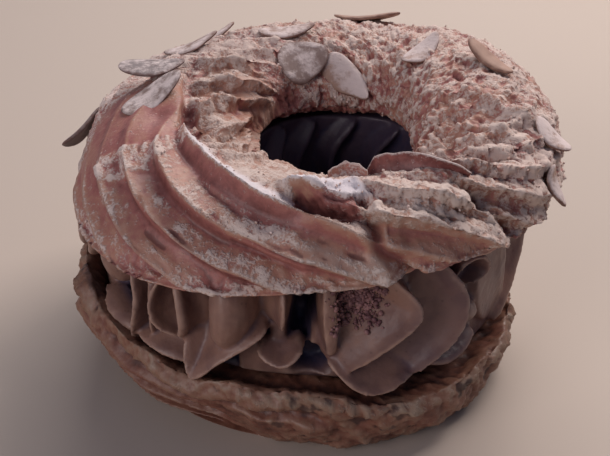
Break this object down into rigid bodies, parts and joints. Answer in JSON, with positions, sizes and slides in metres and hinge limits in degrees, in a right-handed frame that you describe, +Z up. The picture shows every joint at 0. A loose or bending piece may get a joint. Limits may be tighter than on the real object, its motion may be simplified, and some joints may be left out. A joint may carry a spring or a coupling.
{
  "type": "paris-brest pastry",
  "caption": "Ring of star-piped choux pastry split and filled with folds of praline cream, its twisted ridged top baked with flaked almonds and dusted with icing sugar.",
  "frame": {"origin": "under the middle of the whole pastry, on the surface that it stands on", "axes": "+Z up; -Y is the front, where the cream's large folds show; +X to the right"},
  "size_m": [0.099, 0.0964, 0.0605],
  "materials": {
    "base_choux": "baked choux crust, matt, orange-brown with darker ridges and crumbly spots",
    "praline_cream": "smooth greyish tan praline cream with a soft sheen",
    "top_choux": "baked choux crust with icing sugar on its crests and red-brown faces below them",
    "almond_flakes": "toasted flaked almonds with brown skin edges, dusted with sugar",
    "nut_crumbs": "crushed caramelised nuts in the cream",
    "icing_sugar": "clumps of icing sugar, powdery"
  },
  "bodies": {
    "root": {"base_ring": "base_choux", "cream_ring": "praline_cream", "top_ring": "top_choux"}
  },
  "joints": []
}
